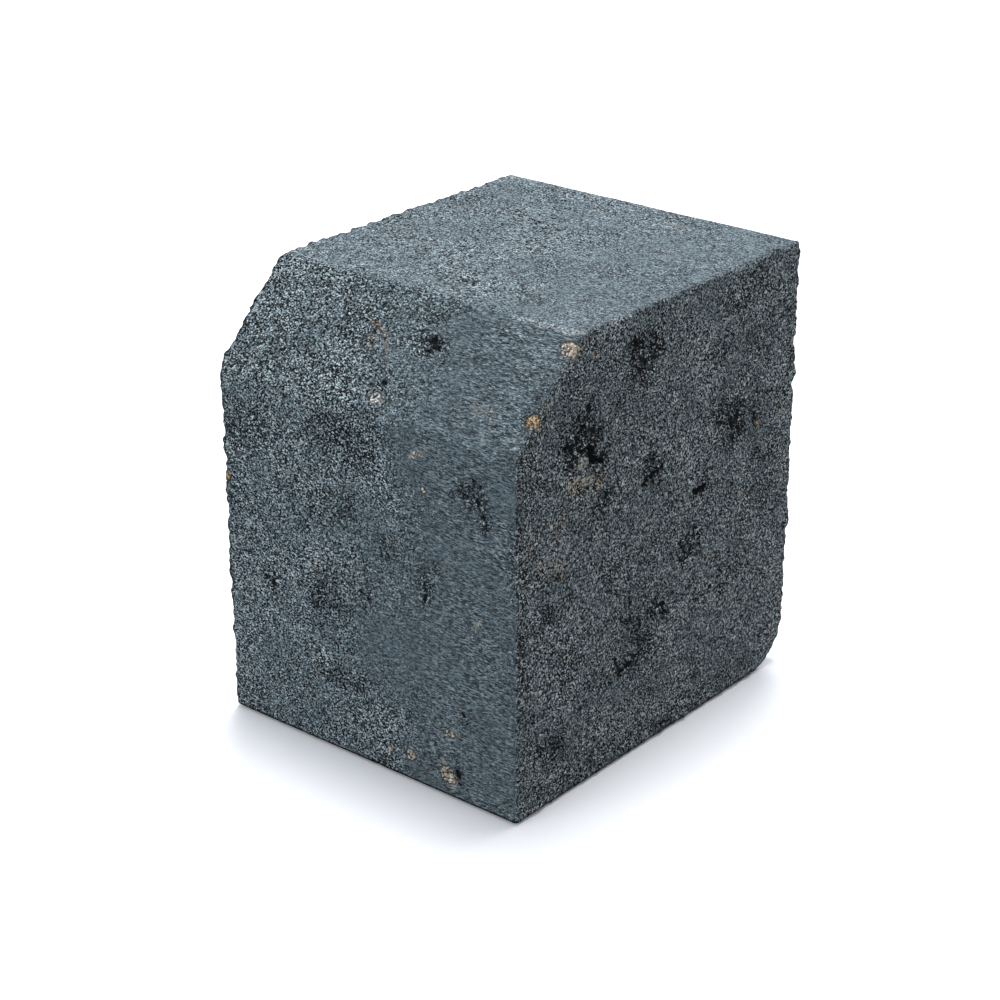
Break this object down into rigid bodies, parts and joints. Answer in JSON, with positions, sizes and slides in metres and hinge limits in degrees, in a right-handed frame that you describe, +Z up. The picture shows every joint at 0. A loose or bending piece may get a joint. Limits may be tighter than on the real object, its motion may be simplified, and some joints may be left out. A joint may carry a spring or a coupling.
{
  "type": "small concrete kerb block",
  "caption": "Small charcoal concrete kerb block with a 45 degree splay along the top of the road side, a bullnose along the bottom of the back, and gravel showing in its faces.",
  "frame": {"origin": "middle of the bed, the face the block stands on", "axes": "+X along the kerb line, -Y towards the road side with the splay, +Z up from the bed"},
  "size_m": [0.1, 0.12, 0.125],
  "materials": {
    "concrete": "matt cast concrete, pigmented charcoal, sandy and pitted",
    "tan_stone": "dull broken sandstone",
    "buff_stone": "dull broken sandstone",
    "ochre_stone": "dull iron-stained sandstone",
    "pale_stone": "dull broken limestone",
    "quartz": "broken milky quartz, slightly glassy"
  },
  "bodies": {
    "root": {"arris_ochre_stone": "ochre_stone", "batter_pale_stone": "pale_stone", "buff_grit": "buff_stone", "concrete_body": "concrete", "corner_buff_pebble": "buff_stone", "far_ochre_stone": "ochre_stone", "foot_buff_stone": "buff_stone", "foot_small_stone": "buff_stone", "hollow_broken_stone": "tan_stone", "hollow_pebble": "tan_stone", "ochre_grit": "ochre_stone", "quartz_grit": "quartz", "upper_buff_stone": "buff_stone"}
  },
  "joints": []
}
